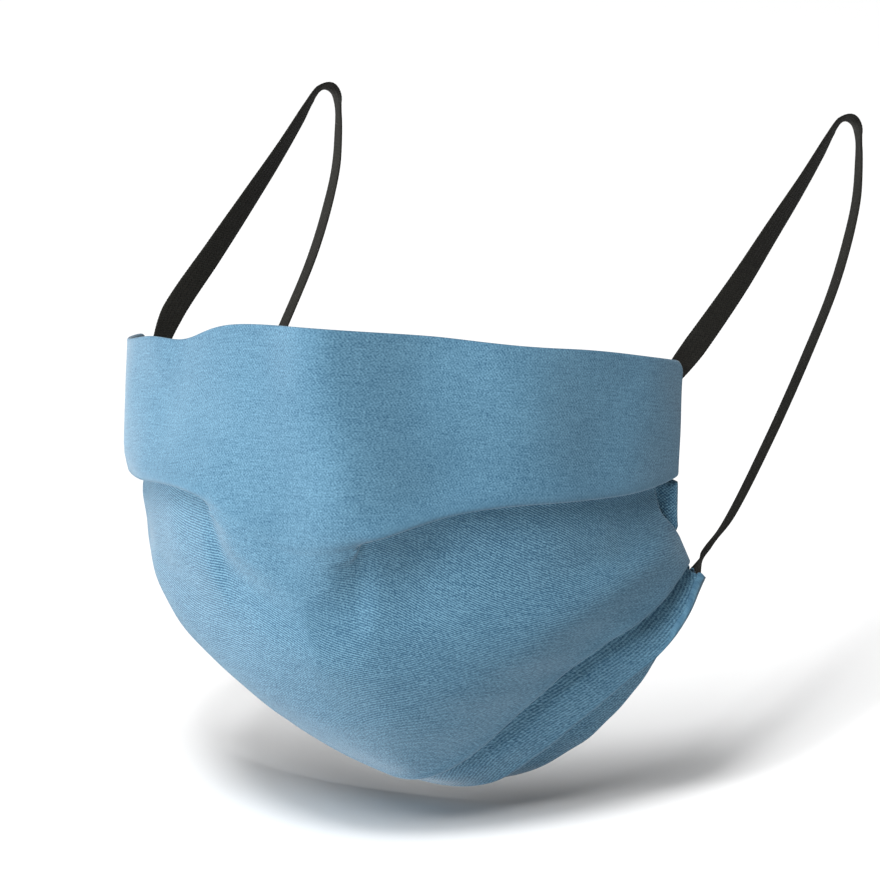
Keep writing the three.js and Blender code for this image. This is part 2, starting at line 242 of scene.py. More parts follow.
def zigzag():
    """The pleat's steps as (share of the tuck, mm along, mm out)."""
    r = LAYER_PITCH / 2
    turns = [math.pi * i / BEND_STEPS for i in range(BEND_STEPS + 1)]
    steps = [(1 - i / LAYER_STEPS, 0, 0) for i in range(LAYER_STEPS)]
    steps += [(0, -r + r * math.sin(t), -r + r * math.cos(t)) for t in turns]
    steps += [(i / LAYER_STEPS, 0, -LAYER_PITCH) for i in range(1, LAYER_STEPS)]
    steps += [(1, r - r * math.sin(t), -LAYER_PITCH - r + r * math.cos(t)) for t in turns]
    steps += [(1 - i / LAYER_STEPS, 0, -2 * LAYER_PITCH) for i in range(1, LAYER_STEPS)]
    return np.array(steps + [(0, r, -2 * LAYER_PITCH)])


def how_closed(across):
    """0 where the pleat has been pulled open and 1 where it lies folded."""
    to_the_right = ease(-across, OPEN_TO_RIGHT, CLOSED_FROM_RIGHT)
    to_the_left = ease(across, OPEN_TO_LEFT, CLOSED_FROM_LEFT)
    return np.where(across < 0, to_the_right, to_the_left)


def pleat_steps(pleat, across):
    """Steps along and out for every place across, folded at the sides and open in the middle."""
    share = np.abs(across)
    base = zigzag()
    tuck = mix(pleat.tuck_mid, pleat.tuck_side, share)[None, :]
    along = -base[:, :1] * tuck + base[:, 1:2]
    out = np.repeat(base[:, 2:3], len(share), 1)
    bend, last, step = LAYER_STEPS + BEND_STEPS // 2, len(base) - 1, np.arange(len(base))
    below = np.clip((step - bend) / (last - bend), 0, 1)[:, None]
    above = np.clip(1 - step / bend, 0, 1)[:, None]
    flat = tuck * (below - above)
    closed = how_closed(across) if pleat.opens else np.ones_like(share)
    folded, stepped = ease(closed, FOLDS_FROM, 1), ease(closed, 0, STEPS_UNTIL)
    lifted = np.where(step < len(base) - LAYER_STEPS - BEND_STEPS, 1 - base[:, 0], 0) ** 2
    sunk = np.where(step > last - LAYER_STEPS, 1 - base[:, 0], 0) ** 2
    sunk = sunk * (GROOVE_OPENING if pleat.opens else 1)
    free = ease(1 - share, 0, 0.25) * folded
    bulge = lifted[:, None] * pleat.puff - sunk[:, None] * GROOVE
    return mix(flat, along, folded), out * stepped + bulge * free


def corner_drop(share):
    """How far the top edge drops at its rounded corners, in mm."""
    corner = np.maximum(CORNER_ROUND - (1 - share) * HALF_SHEET, 0)
    return CORNER_ROUND - np.sqrt(np.maximum(CORNER_ROUND ** 2 - corner ** 2, 0))


def cloth_path(across):
    """The cloth's path at each place across: along and out in mm, and the zone of each step."""
    lines, share = Lines(across), np.abs(across)
    start = corner_drop(share)
    lip = np.array([0, 0.08, 0.3, 0.7])[:, None]
    alongs, outs, zones = [start[None, :] + lip], [np.zeros((4, len(share)))], [np.zeros(4)]

    def span(to_along, to_out, count, zone):
        parts = (np.arange(1, count + 1) / (count + 1))[:, None]
        length = to_along - alongs[-1][-1]
        risen = ease(parts, 0, np.minimum(RISE_SHARE, RISE / np.maximum(length, 1))[None, :])
        start = outs[-1][-1:]
        if zone == 1:
            soft = -2 * LAYER_PITCH * ease(share, -0.1, 0.3)[None, :]
            start = mix(start, soft, ease(parts * length[None, :], 0, SOFT_RUN))
        alongs.append(mix(alongs[-1][-1:], to_along[None, :], parts))
        outs.append(mix(start, to_out[None, :], risen))
        zones.append(np.full(count, float(zone)))

    for i, pleat in enumerate(PLEATS):
        fold_at = lines.along_at(pleat.level)
        steps_along, steps_out = pleat_steps(pleat, across)
        base = np.full(len(share), -2 * LAYER_PITCH if i == 2 else 0.0)
        span(fold_at + steps_along[0], base, SPAN_STEPS[i], i)
        alongs.append(fold_at[None, :] + steps_along)
        pressed = CREASE * bell(across - CREASE_AT, CREASE_WIDE)[None, :]
        crease = pressed * ease(steps_along, -CREASE_RUN, CREASE_RUN) if pleat.opens else 0
        outs.append(base[None, :] + steps_out - crease)
        count = len(steps_along)
        zones.append(i + ease(np.arange(count), LAYER_STEPS, count - LAYER_STEPS))
    hem_at = lines.along_at(HEM)
    span(hem_at, np.full(len(share), -4 * LAYER_PITCH), TAIL_STEPS, 3)
    alongs.append(hem_at[None, :] - np.array([0.3, 0.0])[:, None])
    outs.append(np.repeat(outs[-1][-1:], 2, 0))
    zones.append(np.full(2, 3.0))
    return lines, np.concatenate(alongs), np.concatenate(outs), np.concatenate(zones)


seam_distances = np.array([0, 0.06, 0.22, 0.5, 1.0, 1.8, 2.8])
half = np.concatenate([1 - seam_distances / HALF_SHEET, np.linspace(0.962, 0, 96)])
across = np.concatenate([-half, half[::-1][1:]])
lines, along, out, zone = cloth_path(across)
print("panel grid:", along.shape, "steps down by places across")

# %% [markdown]
# ## From a path to a sheet with two faces
# A sheet of cloth has a thickness, so the path is moved half a wall to each side before it is
# laid on the face. The wall thins out at the rim, which rounds the turned edges of the two
# plies. Millimetres across and down the worn face are kept as a UV map for the weave. The
# last few millimetres above every folded edge are marked too: the cloth is stretched tight
# over a fold, so it looks smoother there. Where the top pleat is open, the change of weave
# from band to pouch fades over some centimetres.

# %% Lay the sheet on the face
def rounded_wall(along, across):
    """Share of the full wall near the rim of the sheet."""
    edge_down = np.minimum(along - along[:1], along[-1:] - along)
    edge_side = (1 - np.abs(across))[None, :] * HALF_SHEET
    rim = np.minimum(edge_down, edge_side) / (CLOTH_WALL / 2)
    return np.sqrt(np.clip(1 - (1 - np.clip(rim, 0, 1)) ** 2, 0.04, 1))


def wear(u, v):
    """Soft waviness of worn cotton, in mm out, from a few long waves across and down."""
    waves = [
        (31, 47, 0.3), (-53, 29, 1.7), (23, -37, 2.9),
        (83, 61, 4.1), (17, 71, 0.9), (-41, 19, 5.2),
    ]
    turns = (np.sin(2 * math.pi * (u / a + v / b) + start) for a, b, start in waves)
    return sum(turns) / len(waves)


run = np.gradient(along, axis=0)
rise = np.gradient(out, axis=0)
size = np.maximum(np.hypot(run, rise), 1e-6)
row = np.arange(len(zone))
first_pouch = int(np.argmax(zone >= 0.5))
last_pouch = int(np.argmax(zone > 1.0))
held_until = mix(first_pouch, last_pouch, INSET_HOLDS)
inset = POUCH_INSET * ease(row, first_pouch - INSET_ROWS, first_pouch + INSET_ROWS)
inset = inset * (1 - ease(row, held_until, last_pouch))
near_seam = ease(np.abs(across), INSET_FROM, 1)[None, :] * np.sign(across)[None, :]
place = across[None, :] - near_seam * (inset[:, None] + EDGE_INSET) / HALF_SHEET
wall = CLOTH_WALL * rounded_wall(along, across) / 2
cloth_u = np.repeat(across[None, :] * HALF_SHEET, len(row), 0)
swell = WEAR * wear(cloth_u, along)


def sheet_side(side):
    shifted = lines.level_at(along - side * rise / size * wall)
    return off_face(place, shifted, out + side * run / size * wall + swell)


folded_edge = np.zeros_like(along)
for i, pleat in enumerate(PLEATS):
    near = bell(along - lines.along_at(pleat.level)[None, :], EDGE_BAND)
    above = ((zone > i - 0.5) & (zone < i + 0.4))[:, None]
    folded_edge += near * above * (how_closed(across)[None, :] if pleat.opens else 1)
faded = ease(along - lines.along_at(TOP_PLEAT)[None, :], FADE_FROM, FADE_TO)
open_middle = (zone <= 1)[:, None] * (1 - how_closed(across))[None, :]
weave_zone = mix(zone[:, None], faded, open_middle)
outer, inner = sheet_side(1), sheet_side(-1)
print("panel spans", outer.min((0, 1)).round(1), "to", outer.max((0, 1)).round(1), "mm")

# %% Make a closed mesh from two grids
def closed_sheet(name, outer, inner, uv, values=None):
    """A closed Blender mesh from two grids of points in mm, with a UV map in mm."""
    rows, columns = outer.shape[:2]
    points = np.concatenate([outer.reshape(-1, 3), inner.reshape(-1, 3)]) / 1000
    index = np.arange(2 * rows * columns).reshape(2, rows, columns)

    def quads(a, b, c, d):
        return np.stack([x.ravel() for x in (a, b, c, d)], 1)

    top, low = index
    faces = np.concatenate([
        quads(top[:-1, :-1], top[1:, :-1], top[1:, 1:], top[:-1, 1:]),
        quads(low[:-1, :-1], low[:-1, 1:], low[1:, 1:], low[1:, :-1]),
        quads(top[:-1, 0], low[:-1, 0], low[1:, 0], top[1:, 0]),
        quads(top[:-1, -1], top[1:, -1], low[1:, -1], low[:-1, -1]),
        quads(top[0, :-1], top[0, 1:], low[0, 1:], low[0, :-1]),
        quads(top[-1, :-1], low[-1, :-1], low[-1, 1:], top[-1, 1:]),
    ])
    mesh = bpy.data.meshes.new(name)
    mesh.from_pydata(points.tolist(), [], faces.tolist())
    mesh.polygons.foreach_set("use_smooth", [True] * len(mesh.polygons))
    corners = np.empty(len(mesh.loops), int)
    mesh.loops.foreach_get("vertex_index", corners)
    both = np.concatenate([uv.reshape(-1, 2)] * 2)
    layer = mesh.uv_layers.new(name="cloth_mm")
    layer.uv.foreach_set("vector", both[corners].astype(np.float32).ravel())
    for key, value in (values or {}).items():
        store = mesh.attributes.new(key, "FLOAT", "POINT")
        store.data.foreach_set("value", np.concatenate([value.ravel()] * 2).astype(np.float32))
    mesh.update()
    piece = bpy.data.objects.new(name, mesh)
    bpy.context.scene.collection.objects.link(piece)
    return piece


panel = closed_sheet(
    "panel_cloth", outer, inner, np.stack([cloth_u, along], -1),
    {"zone": weave_zone, "edge": folded_edge},
)
print(panel.name, "has", len(panel.data.polygons), "faces")

# %% [markdown]
# ## Chambray
# Chambray is a plain weave of blue warp and paler weft, so from close by it is a fine
# speckle, and from arm's length it shows faint diagonal lines, thick threads called slubs
# and a soft mottling from washing. All of it is built from the cloth's own millimetres. The
# lines come from waves across both threads, and the slubs from noise that is stretched
# along one thread at a time.

# %% Small helpers for node trees
def fresh_material(name):
    material = bpy.data.materials.new(name)
    material.use_nodes = True
    tree = material.node_tree
    return material, tree, tree.nodes["Principled BSDF"]


def add(tree, kind, inputs=None, **settings):
    """A node with its settings and inputs; an input is a plain value or another node's socket."""
    made = tree.nodes.new(kind)
    for key, value in settings.items():
        setattr(made, key, value)
    for key, value in (inputs or {}).items():
        if isinstance(value, bpy.types.NodeSocket):
            tree.links.new(value, made.inputs[key])
        else:
            made.inputs[key].default_value = value
    return made


def maths(tree, operation, *values):
    made = tree.nodes.new("ShaderNodeMath")
    made.operation = operation
    for i, value in enumerate(values):
        if isinstance(value, bpy.types.NodeSocket):
            tree.links.new(value, made.inputs[i])
        else:
            made.inputs[i].default_value = value
    return made.outputs[0]


def wave(tree, u, v, across, down, drift):
    """A sine over the cloth; across and down are in repeats per mm, and drift bends it."""
    over, under = maths(tree, "MULTIPLY", u, across), maths(tree, "MULTIPLY", v, down)
    turns = maths(tree, "ADD", maths(tree, "ADD", over, under), drift)
    return maths(tree, "SINE", maths(tree, "MULTIPLY", turns, 2 * math.pi))


def stretched_noise(tree, uv, scale, detail=2.0, seed=0.0):
    """Noise over the cloth; scale is in repeats per mm across and down."""
    place = (seed, seed * 0.7, seed * 0.3)
    inputs = {"Vector": uv, "Location": place, "Scale": (*scale, 1)}
    moved = add(tree, "ShaderNodeMapping", inputs).outputs[0]
    inputs = {"Vector": moved, "Scale": 1.0, "Detail": detail}
    made = add(tree, "ShaderNodeTexNoise", inputs)
    return maths(tree, "SUBTRACT", made.outputs["Fac"], 0.5)


def cloth_uv(tree):
    """The cloth's UV map, and its mm across and down."""
    uv = add(tree, "ShaderNodeUVMap", uv_map="cloth_mm").outputs[0]
    split = add(tree, "ShaderNodeSeparateXYZ", {"Vector": uv})
    return uv, split.outputs[0], split.outputs[1]


def stored(tree, name):
    """A value that the mesh keeps at every point."""
    settings = {"attribute_name": name, "attribute_type": "GEOMETRY"}
    return add(tree, "ShaderNodeAttribute", **settings).outputs["Fac"]


def shade_between(tree, surface, share, dark, light):
    colour = add(tree, "ShaderNodeMix", data_type="RGBA")
    tree.links.new(share, colour.inputs[0])
    colour.inputs[6].default_value = (*dark, 1)
    colour.inputs[7].default_value = (*light, 1)
    tree.links.new(colour.outputs[2], surface.inputs["Base Color"])


def raise_by(tree, surface, height, strength, metres):
    inputs = {"Height": height, "Strength": strength, "Distance": metres}
    bump = add(tree, "ShaderNodeBump", inputs)
    tree.links.new(bump.outputs[0], surface.inputs["Normal"])


def set_finish(surface, **values):
    """Set plain values; Specular_IOR_Level stands for the input Specular IOR Level."""
    for key, value in values.items():
        surface.inputs[key.replace("_", " ")].default_value = value


# %% The chambray finish
LINE = 0.62  # mm between two diagonal lines
CROSSED = 0.75 / LINE  # crossed threads per mm
BAND_LINES, POUCH_LINES, STRIP_LINES, BINDING_LINES = 0.3, 1.7, 2.2, 1.6
BAND_ROUGH, POUCH_ROUGHER, STRIP_ROUGHER, BINDING_ROUGH = 0.75, 0.45, 0.9, 1.4
CALM_AT_FOLD = 0.75
DEEP_BLUE, PALE_BLUE = (0.016, 0.070, 0.130), (0.120, 0.254, 0.350)


def chambray(name, zoned):
    material, tree, surface = fresh_material(name)
    uv, u, v = cloth_uv(tree)
    # diagonal lines: shallow on the pouch, steep on the top band, crossed on the strips
    drift = maths(tree, "MULTIPLY", stretched_noise(tree, uv, (0.9, 0.9), 2, 71.0), 0.4)
    pouch_lines = wave(tree, u, v, -0.42 / LINE, 0.91 / LINE, drift)
    band_lines = wave(tree, u, v, -0.85 / LINE, 0.52 / LINE, drift)
    warp, weft = wave(tree, u, v, CROSSED, 0, drift), wave(tree, u, v, 0, CROSSED, drift)
    crossed = maths(tree, "MULTIPLY", warp, weft)
    if zoned:
        zone, edge = stored(tree, "zone"), stored(tree, "edge")
        in_band = maths(tree, "SUBTRACT", 1.0, maths(tree, "MINIMUM", zone, 1.0))
        past_pouch = maths(tree, "MAXIMUM", maths(tree, "SUBTRACT", zone, 1.0), 0.0)
        in_strips = maths(tree, "MINIMUM", past_pouch, 1.0)
        in_pouch = maths(tree, "SUBTRACT", maths(tree, "SUBTRACT", 1.0, in_band), in_strips)
        band, pouch, strips_part = (
            maths(tree, "MULTIPLY", pattern, maths(tree, "MULTIPLY", where, strength))
            for pattern, where, strength in (
                (band_lines, in_band, BAND_LINES),
                (pouch_lines, in_pouch, POUCH_LINES),
                (crossed, in_strips, STRIP_LINES),
            )
        )
        lines_sum = maths(tree, "ADD", maths(tree, "ADD", band, pouch), strips_part)
        rough = maths(tree, "MULTIPLY_ADD", in_strips, STRIP_ROUGHER, BAND_ROUGH)
        rough = maths(tree, "MULTIPLY_ADD", in_pouch, POUCH_ROUGHER, rough)
        calm = maths(tree, "SUBTRACT", 1.0, maths(tree, "MULTIPLY", edge, CALM_AT_FOLD))
        lines_sum = maths(tree, "MULTIPLY", lines_sum, calm)
        rough = maths(tree, "MULTIPLY", rough, calm)
    else:
        lines_sum, rough = maths(tree, "MULTIPLY", crossed, BINDING_LINES), BINDING_ROUGH
    weave = maths(tree, "ADD", lines_sum, maths(tree, "MULTIPLY", crossed, 0.4))
    patchy = maths(tree, "MULTIPLY_ADD", stretched_noise(tree, uv, (0.09, 0.09), 3, 4.0), 1.8, 1.0)
    weave = maths(tree, "MULTIPLY", weave, patchy)
    slubs_across = stretched_noise(tree, uv, (0.25, 2.2), 2, 11.0)
    slubs_down = stretched_noise(tree, uv, (2.2, 0.25), 2, 23.0)
    speckle = stretched_noise(tree, uv, (2.2, 2.2), 1, 37.0)
    mottle = stretched_noise(tree, uv, (0.045, 0.045), 3, 51.0)
    pale = maths(tree, "MULTIPLY_ADD", weave, 0.26, 0.42)
    coarse = maths(tree, "MULTIPLY", slubs_down, 0.5)
    coarse = maths(tree, "MULTIPLY_ADD", slubs_across, 0.6, coarse)
    coarse = maths(tree, "MULTIPLY_ADD", speckle, 1.6, coarse)
    pale = maths(tree, "MULTIPLY_ADD", coarse, rough, pale)
    pale = maths(tree, "MULTIPLY_ADD", mottle, 0.3, pale)
    shade_between(tree, surface, pale, DEEP_BLUE, PALE_BLUE)
    height = maths(tree, "MULTIPLY", speckle, 1.2)
    height = maths(tree, "ADD", maths(tree, "MULTIPLY", weave, 0.6), height)
    height = maths(tree, "ADD", height, slubs_across)
    raise_by(tree, surface, height, 0.35, 0.0001)
    set_finish(surface, Roughness=0.88, Specular_IOR_Level=0.25)
    set_finish(surface, Sheen_Weight=0.25, Sheen_Roughness=0.5)
    return material


panel.data.materials.append(chambray("chambray", True))
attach(panel, "root")
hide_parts("pleated_panel")
print("chambray lines are", LINE, "mm apart")

# %% [markdown]
# ## The side bindings
# A strip of the same cloth runs down behind each side seam. It is there to hold every layer of
# the pleats, so its path steps back wherever a pleat begins to double the cloth. Its two rows of
# lockstitch are real geometry, because from the inside they are what the eye goes to. Each
# stitch is a short thread that is thicker in its middle than where it dives into the cloth.

# %% Sew a row of lockstitch
STITCH_PITCH, STITCH_LENGTH, STITCH_THICK = 2.8, 2.2, 0.36
STITCH_SWELL, STITCH_SIDES = np.array([0.35, 0.85, 1.0, 0.85, 0.35]), 6


def thread(name, tint):
    material, tree, surface = fresh_material(name)
    surface.inputs["Base Color"].default_value = (*tint, 1)
    twist = add(tree, "ShaderNodeTexNoise", {"Scale": 4000.0, "Detail": 1.0})
    raise_by(tree, surface, twist.outputs["Fac"], 0.3, 0.00005)
    set_finish(surface, Roughness=0.7)
    return material


def walk(points):
    """The length walked to each point of a line."""
    return np.concatenate([[0], np.cumsum(np.linalg.norm(np.diff(points, axis=0), axis=1))])


def read_at(at, walked, values):
    return np.stack([np.interp(at, walked, values[:, i]) for i in range(3)], 1)


def stitch_row(name, path, lift, pitch=STITCH_PITCH, length=STITCH_LENGTH, ends=3.0):
    """Short thread lengths lying on a path; lift holds the direction out of the cloth."""
    walked, rings, sides = walk(path), len(STITCH_SWELL), STITCH_SIDES
    starts = np.arange(ends, walked[-1] - ends - length + 0.01, pitch)
    round_about = np.linspace(0, 2 * math.pi, sides, endpoint=False)
    radius = STITCH_SWELL[:, None] * STITCH_THICK / 2
    sideways, outwards = radius * np.cos(round_about), radius * np.sin(round_about)
    points, faces = [], []
    for start in starts:
        at = np.linspace(start, start + length, rings)
        line, out = read_at(at, walked, path), unit(read_at(at, walked, lift))
        over = unit(np.cross(np.gradient(line, axis=0), out))
        first = len(points) * rings * sides
        ring = over[:, None] * sideways[..., None] + out[:, None] * outwards[..., None]
        points.append((line + out * radius * 0.5)[:, None] + ring)
        for i in range(rings - 1):
            for j in range(sides):
                a, b = first + i * sides + j, first + i * sides + (j + 1) % sides
                faces.append((a, a + sides, b + sides, b))
        faces.append(tuple(first + j for j in range(sides)))
        faces.append(tuple(first + (rings - 1) * sides + j for j in reversed(range(sides))))
    mesh = bpy.data.meshes.new(name)
    points = np.concatenate(points).reshape(-1, 3) / 1000
    mesh.from_pydata(points.tolist(), [], faces)
    mesh.polygons.foreach_set("use_smooth", [True] * len(mesh.polygons))
    row = bpy.data.objects.new(name, mesh)
    bpy.context.scene.collection.objects.link(row)
    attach(row, "root")
    return row


thread_blue = thread("thread_blue", (0.11, 0.24, 0.33))
thread_black = thread("thread_black", (0.02, 0.02, 0.02))
print("lockstitch every", STITCH_PITCH, "mm")

# %% Build one side strip
SEAT = 1.3
HEM_FROM = 0.90
STRIP_PLACES, STRIP_RIM = 14, 0.6
strip_cloth = chambray("chambray_strip", False)


def strip_path(lines):
    top_tuck = lines.along_at(TOP_PLEAT) - PLEATS[0].tuck_side
    low_tuck = lines.along_at(LOW_PLEAT) - PLEATS[2].tuck_side
    end = lines.along_at(HEM)
    corners = [
        (corner_drop(np.abs(lines.across)) + 2.2, 0, 14),
        (top_tuck - 6, 0, 6), (top_tuck - 2.5, 2, 30),
        (low_tuck - 6, 2, 6), (low_tuck - 2.5, 4, 14),
        (end - 0.6, 4, 0),
    ]
    alongs, outs = [], []
    for (start, layer, steps), (stop, next_layer, _) in zip(corners, corners[1:]):
        for k in range(steps):
            alongs.append(mix(start, stop, k / steps))
            depth = mix(layer, next_layer, ease(k / steps, 0, 1))
            outs.append(np.full_like(end, -SEAT - LAYER_PITCH * depth))
    alongs.append(corners[-1][0])
    outs.append(np.full_like(end, -SEAT - LAYER_PITCH * 4))
    return np.array(alongs), np.array(outs)


def strip_lift(lines, along, across):
    """Between the pleats nothing lies on the strip, so its edge curls out beside the pouch."""
    fold = lines.along_at(TOP_PLEAT)
    tuck = lines.along_at(CHIN_PLEAT) - PLEATS[1].tuck_side
    free = ease(along, fold + 0.2, fold + 1.8) * (1 - ease(along, tuck - 3, tuck + 1))
    return (SEAT + 2 * LAYER_PITCH) * free * ease(np.abs(across), 0.93, 0.99)


def side_strip(name, node, side):
    ends = (HEM_FROM, 1) if side > 0 else (-1, -HEM_FROM)
    places = np.linspace(*ends, STRIP_PLACES)
    lines = Lines(places)
    along, out = strip_path(lines)
    level = lines.level_at(along)
    across = np.repeat(places[None, :], len(along), 0)
    out = out + strip_lift(lines, along, across)
    rim = np.minimum(places - places.min(), places.max() - places) * HALF_SHEET
    thinned = 1 - (1 - np.clip(rim / STRIP_RIM, 0, 1)) ** 2
    wall = CLOTH_WALL / 2 * np.sqrt(np.clip(thinned, 0.15, 1))[None, :]
    uv = np.stack([across * HALF_SHEET, along], -1)
    front, back = off_face(across, level, out + wall), off_face(across, level, out - wall)
    inwards = -face_normal(across, level)
    strip = closed_sheet(name, front, back, uv)
    for place, row in (("outer", 3), ("inner", 10)):
        column = row if side < 0 else STRIP_PLACES - 1 - row
        seam = stitch_row(f"{name}_{place}_stitches", back[:, column], inwards[:, column])
        seam.data.materials.append(thread_blue)
    strip.data.materials.append(strip_cloth)
    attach(strip, "root")
    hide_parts(node)
    print(name, "steps", along.shape)
    return strip


strips = [
    side_strip("side_binding_left", "side_hem_left", -1),
    side_strip("side_binding_right", "side_hem_right", 1),
]

# %% [markdown]
# ## The elastic
# Flat ear elastic is a braid: a handful of rubber cords side by side under a black yarn. It
# keeps its width where it is taut and turns on edge where it bends over the ear. A curve
# bevel can't be told which way to face at each place, so the band is swept by hand: a table
# gives its route and how far it is turned, and the ribs are part of its cross-section.

# %% The route over one ear
ELASTIC_WIDE, ELASTIC_THICK, SEWN_GAP = 6.1, 0.9, 0.3
Spot = namedtuple("Spot", "x y z twist")
LOOP_ROUTE = [
    Spot(73.5, 62, -21.5, -36), Spot(74.5, 86, -13.2, -20), Spot(74.5, 106, -6.4, -6),
    Spot(74.5, 126, 0.3, 8), Spot(74.5, 140, 5.6, 17), Spot(74.5, 147, 8.3, 28),
    Spot(74.5, 152, 8.7, 60), Spot(74.5, 156, 7.0, 100), Spot(74.5, 158.7, 3.9, 133),
    Spot(74.5, 159.1, 0, 141), Spot(74.5, 158, -5, 138), Spot(74.5, 155, -13, 135),
    Spot(74.5, 148.8, -21, 132), Spot(74.5, 138, -31, 130), Spot(74.5, 122, -41.5, 128),
    Spot(74.5, 95, -56.8, 127), Spot(74.5, 68, -70, 128), Spot(73.6, 57, -73.8, 132),
]
Tab = namedtuple("Tab", "across level under")
UPPER_TAB = [Tab(0.90, 0.30, 0.1), Tab(0.94, 0.24, 0.1), Tab(0.98, 0.17, 0.5)]
LOWER_TAB = [Tab(0.93, 4.5, 1.3), Tab(0.84, 4.4, 1.9), Tab(0.74, 4.35, 1.9)]
EAR_SHIFTS = {-1: np.array([3, -1.5, 1.2]), 1: np.array([0.5, 0, 0.2])}


def square_to(direction, vector):
    return unit(vector - direction * (vector * direction).sum(-1, keepdims=True))


def smooth_route(points, steps):
    """A smooth curve through points, evenly stepped between them, and its directions."""
    gaps = np.linalg.norm(np.diff(points, axis=0), axis=1) ** 0.5
    before, after = 2 * points[0] - points[1], 2 * points[-1] - points[-2]
    guarded = np.concatenate([[before], points, [after]])
    knots = np.concatenate([[0], np.cumsum(np.concatenate([gaps[:1], gaps, gaps[-1:]]))])
    made = []
    for i in range(len(points) - 1):
        p, t = guarded[i:i + 4], knots[i:i + 4]
        for k in range(steps if i < len(points) - 2 else steps + 1):
            at = mix(t[1], t[2], k / steps)
            a = [mix(p[j], p[j + 1], (at - t[j]) / (t[j + 1] - t[j])) for j in range(3)]
            b = [mix(a[j], a[j + 1], (at - t[j]) / (t[j + 2] - t[j])) for j in range(2)]
            made.append(mix(b[0], b[1], (at - t[1]) / (t[2] - t[1])))
    made = np.array(made)
    return made, unit(np.gradient(made, axis=0))


def ear_route(side, steps):
    upper = -SEAT - 0.5 - SEWN_GAP - ELASTIC_THICK / 2
    lower = upper - 4 * LAYER_PITCH
    points, turns = [], []
    for tabs, seat, facing in ((UPPER_TAB, upper, side), (None, 0, 0), (LOWER_TAB, lower, -side)):
        for tab in tabs or []:
            points.append(off_face(side * tab.across, tab.level, seat - tab.under))
            turns.append(face_normal(side * tab.across, tab.level) * facing)
        for spot in LOOP_ROUTE if tabs is None else []:
            drawn = ease(spot.y, 60, 95)
            points.append(np.array([side * spot.x, spot.y, spot.z]) + EAR_SHIFTS[side] * drawn)
            turns.append(math.radians(spot.twist))
    centres, tangents = smooth_route(np.array(points), steps)
    faces = []
    for i, turn in enumerate(turns):
        tangent = tangents[min(i * steps, len(tangents) - 1)]
        if not isinstance(turn, float):
            faces.append(turn)
            continue
        sideways = square_to(tangent, np.array([1.0, 0, 0]))
        faces.append(sideways * math.cos(turn) + np.cross(tangent, sideways) * math.sin(turn))
    faces = np.array(faces)
    share = np.arange(len(centres)) / steps
    row = np.minimum(share.astype(int), len(faces) - 2)
    facing = square_to(tangents, mix(faces[row], faces[row + 1], (share - row)[:, None]))
    return centres, tangents, facing


# %% Sweep the ribbed band
def tack_out(side, place):
    """The direction away from the face where the elastic is sewn down."""
    tab = UPPER_TAB[0] if place == "upper" else LOWER_TAB[-1]
    return face_normal(side * tab.across, tab.level)


RIBS, RIB_HIGH, BAND_POINTS, BAND_STEPS, BAND_GRID = 6, 0.09, 37, 26, 0.5
PICK_SHARE, PICK_EVERY = 0.012, 1.1
TACK_STOPS = {"upper": (5, 12), "lower": (-13, -6)}


def ear_loop(name, node, side, material):
    centres, tangents, facing = ear_route(side, BAND_STEPS)
    walked = walk(centres)
    even = np.linspace(0, walked[-1], int(walked[-1] / BAND_GRID))
    centres, tangents, facing = (
        read_at(even, walked, grid) for grid in (centres, tangents, facing)
    )
    tangents = unit(tangents)
    facing = square_to(tangents, facing)
    edge = np.cross(tangents, facing)
    s = np.linspace(1, -1, BAND_POINTS)
    crown = np.sqrt(np.clip(1 - np.abs(s) ** 6, 0.05, 1))
    ribs = RIB_HIGH * np.abs(np.cos(s * RIBS * math.pi / 2))
    thick = (ELASTIC_THICK / 2 - RIB_HIGH) * crown + ribs * crown
    picks = 1 + PICK_SHARE * np.sin(even * 2 * math.pi / PICK_EVERY)[:, None]
    lines_across = s[None, :] * ELASTIC_WIDE / 2 * picks
    flat = centres[:, None] + edge[:, None] * lines_across[..., None]
    grids = [flat + facing[:, None] * (through * thick)[None, :, None] for through in (1, -1)]
    uv = np.stack([lines_across, np.repeat(even[:, None], len(s), 1)], -1)
    for place, stops in TACK_STOPS.items():
        inside = -1 if (facing[stops[0]] * tack_out(side, place)).sum() > 0 else 1
        for number, at in enumerate(stops):
            bar = grids[0 if inside > 0 else 1][at]
            lift = np.repeat(facing[at:at + 1] * inside, len(bar), 0)
            tack = stitch_row(f"{name}_{place}_tack_{number + 1}", bar, lift, 0.9, 0.8, 0.5)
            tack.data.materials.append(thread_black)
    band = closed_sheet(name, grids[0], grids[1], uv)
    band.data.materials.append(material)
    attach(band, "root")
    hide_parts(node)
    print(name, "is", round(float(walked[-1]), 1), "mm long,", len(band.data.polygons), "faces")


def elastic_finish():
    material, tree, surface = fresh_material("elastic_black")
    uv, u, v = cloth_uv(tree)
    ribs = maths(tree, "SINE", maths(tree, "MULTIPLY", u, math.pi * RIBS / ELASTIC_WIDE))
    ribs = maths(tree, "ABSOLUTE", ribs)
    turns = maths(tree, "MULTIPLY", v, 2 * math.pi / 0.9)
    plait = maths(tree, "SINE", maths(tree, "ADD", turns, maths(tree, "MULTIPLY", ribs, 4.0)))
    fuzz = stretched_noise(tree, uv, (1.5, 0.7), 3, 3.0)
    shade = maths(tree, "MULTIPLY_ADD", plait, 0.2, 0.45)
    shade = maths(tree, "MULTIPLY_ADD", fuzz, 0.9, shade)
    shade_between(tree, surface, shade, (0.0035, 0.0035, 0.003), (0.020, 0.019, 0.015))
    raise_by(tree, surface, maths(tree, "ADD", plait, fuzz), 0.5, 0.00012)
    set_finish(surface, Roughness=0.8, Specular_IOR_Level=0.2)
    return material


black = elastic_finish()
ear_loop("ear_elastic_left", "ear_loop_left", -1, black)
ear_loop("ear_elastic_right", "ear_loop_right", 1, black)

